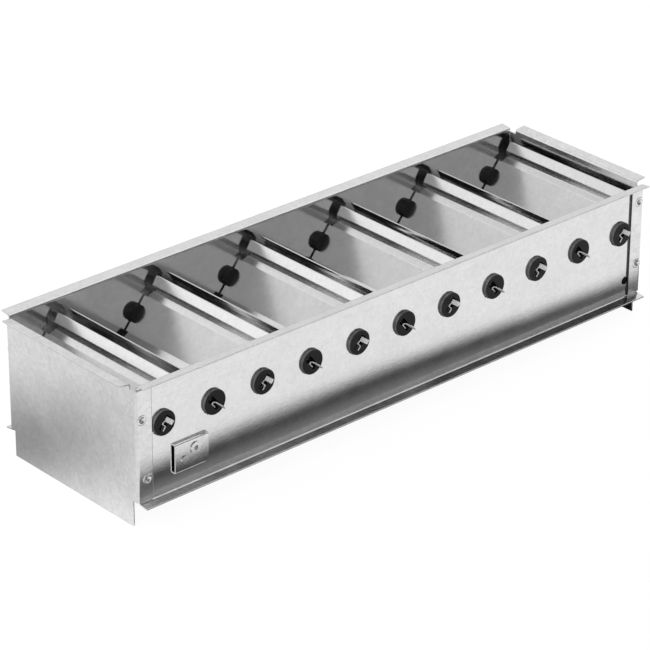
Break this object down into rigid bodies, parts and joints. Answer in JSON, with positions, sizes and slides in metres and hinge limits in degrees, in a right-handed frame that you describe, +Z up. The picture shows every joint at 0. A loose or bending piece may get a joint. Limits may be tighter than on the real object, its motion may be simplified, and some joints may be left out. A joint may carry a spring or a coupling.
{
  "type": "opposed blade damper",
  "caption": "Opposed blade volume damper: folded sheet frame with a row of tilting blades in plastic bushes, tied together by two link bars and worked by a lever.",
  "frame": {"origin": "centre of the footprint, level with the lower edges of the two end walls", "axes": "+X along the row of blades to the right end wall, +Y from the front wall with the bracket to the back wall, +Z up to the flanged mouth"},
  "size_m": [0.4336, 0.1358, 0.0939],
  "materials": {
    "wall_sheet": "galvanised sheet, fine spangle, rolled sheen",
    "blade_sheet": "galvanised sheet, bright",
    "bracket_sheet": "galvanised sheet",
    "bush_plastic": "black moulded plastic, slight sheen",
    "link_steel": "galvanised strip",
    "rivet_steel": "zinc plated"
  },
  "bodies": {
    "frame": {"front_wall": "wall_sheet", "back_wall": "wall_sheet", "left_end_wall": "wall_sheet", "right_end_wall": "wall_sheet", "bracket_plate": "bracket_sheet", "bracket_rivet": "rivet_steel", "pivot_rivet": "rivet_steel"},
    "blade_unit_01": {"blade_01": "blade_sheet", "bush_pair_01": "bush_plastic"},
    "blade_unit_02": {"blade_02": "blade_sheet", "bush_pair_02": "bush_plastic"},
    "blade_unit_03": {"blade_03": "blade_sheet", "bush_pair_03": "bush_plastic"},
    "blade_unit_04": {"blade_04": "blade_sheet", "bush_pair_04": "bush_plastic"},
    "blade_unit_05": {"blade_05": "blade_sheet", "bush_pair_05": "bush_plastic"},
    "blade_unit_06": {"blade_06": "blade_sheet", "bush_pair_06": "bush_plastic"},
    "blade_unit_07": {"blade_07": "blade_sheet", "bush_pair_07": "bush_plastic"},
    "blade_unit_08": {"blade_08": "blade_sheet", "bush_pair_08": "bush_plastic"},
    "blade_unit_09": {"blade_09": "blade_sheet", "bush_pair_09": "bush_plastic"},
    "blade_unit_10": {"blade_10": "blade_sheet", "bush_pair_10": "bush_plastic"},
    "blade_unit_11": {"blade_11": "blade_sheet", "bush_pair_11": "bush_plastic"},
    "upper_link": {"upper_link_bar": "link_steel", "link_yoke": "link_steel"},
    "lower_link": {"lower_link_bar": "link_steel", "yoke_pin": "rivet_steel"},
    "lever": {"operating_lever": "link_steel", "lever_pin": "rivet_steel"}
  },
  "joints": [
    {"name": "lever_turn", "type": "hinge", "parent": "frame", "child": "lever", "pos_m": [-0.1678, -0.05665, 0.0397], "axis": [0, 1, 0], "range_deg": [-10, 39]},
    {"name": "blade_turn_01", "type": "hinge", "parent": "frame", "child": "blade_unit_01", "pos_m": [-0.19, 0, 0.0635], "axis": [0, 1, 0], "range_deg": [-39, 10]},
    {"name": "blade_turn_02", "type": "hinge", "parent": "frame", "child": "blade_unit_02", "pos_m": [-0.152, 0, 0.0635], "axis": [0, 1, 0], "range_deg": [-10, 39]},
    {"name": "blade_turn_03", "type": "hinge", "parent": "frame", "child": "blade_unit_03", "pos_m": [-0.114, 0, 0.0635], "axis": [0, 1, 0], "range_deg": [-39, 10]},
    {"name": "blade_turn_04", "type": "hinge", "parent": "frame", "child": "blade_unit_04", "pos_m": [-0.076, 0, 0.0635], "axis": [0, 1, 0], "range_deg": [-10, 39]},
    {"name": "blade_turn_05", "type": "hinge", "parent": "frame", "child": "blade_unit_05", "pos_m": [-0.038, 0, 0.0635], "axis": [0, 1, 0], "range_deg": [-39, 10]},
    {"name": "blade_turn_06", "type": "hinge", "parent": "frame", "child": "blade_unit_06", "pos_m": [0, 0, 0.0635], "axis": [0, 1, 0], "range_deg": [-10, 39]},
    {"name": "blade_turn_07", "type": "hinge", "parent": "frame", "child": "blade_unit_07", "pos_m": [0.038, 0, 0.0635], "axis": [0, 1, 0], "range_deg": [-39, 10]},
    {"name": "blade_turn_08", "type": "hinge", "parent": "frame", "child": "blade_unit_08", "pos_m": [0.076, 0, 0.0635], "axis": [0, 1, 0], "range_deg": [-10, 39]},
    {"name": "blade_turn_09", "type": "hinge", "parent": "frame", "child": "blade_unit_09", "pos_m": [0.114, 0, 0.0635], "axis": [0, 1, 0], "range_deg": [-39, 10]},
    {"name": "blade_turn_10", "type": "hinge", "parent": "frame", "child": "blade_unit_10", "pos_m": [0.152, 0, 0.0635], "axis": [0, 1, 0], "range_deg": [-10, 39]},
    {"name": "blade_turn_11", "type": "hinge", "parent": "frame", "child": "blade_unit_11", "pos_m": [0.19, 0, 0.0635], "axis": [0, 1, 0], "range_deg": [-39, 10]},
    {"name": "upper_link_pin", "type": "hinge", "parent": "blade_unit_01", "child": "upper_link", "pos_m": [-0.17836, -0.05805, 0.07788], "axis": [0, 1, 0], "range_deg": [-10, 39]},
    {"name": "lower_link_pin", "type": "hinge", "parent": "lever", "child": "lower_link", "pos_m": [-0.15616, -0.05805, 0.02532], "axis": [0, 1, 0], "range_deg": [-39, 10]}
  ],
  "couplings": [
    {"joint": "blade_turn_01", "follows": "lever_turn", "ratio": -1},
    {"joint": "blade_turn_02", "follows": "lever_turn", "ratio": 1},
    {"joint": "blade_turn_03", "follows": "lever_turn", "ratio": -1},
    {"joint": "blade_turn_04", "follows": "lever_turn", "ratio": 1},
    {"joint": "blade_turn_05", "follows": "lever_turn", "ratio": -1},
    {"joint": "blade_turn_06", "follows": "lever_turn", "ratio": 1},
    {"joint": "blade_turn_07", "follows": "lever_turn", "ratio": -1},
    {"joint": "blade_turn_08", "follows": "lever_turn", "ratio": 1},
    {"joint": "blade_turn_09", "follows": "lever_turn", "ratio": -1},
    {"joint": "blade_turn_10", "follows": "lever_turn", "ratio": 1},
    {"joint": "blade_turn_11", "follows": "lever_turn", "ratio": -1},
    {"joint": "upper_link_pin", "follows": "lever_turn", "ratio": 1},
    {"joint": "lower_link_pin", "follows": "lever_turn", "ratio": -1}
  ]
}
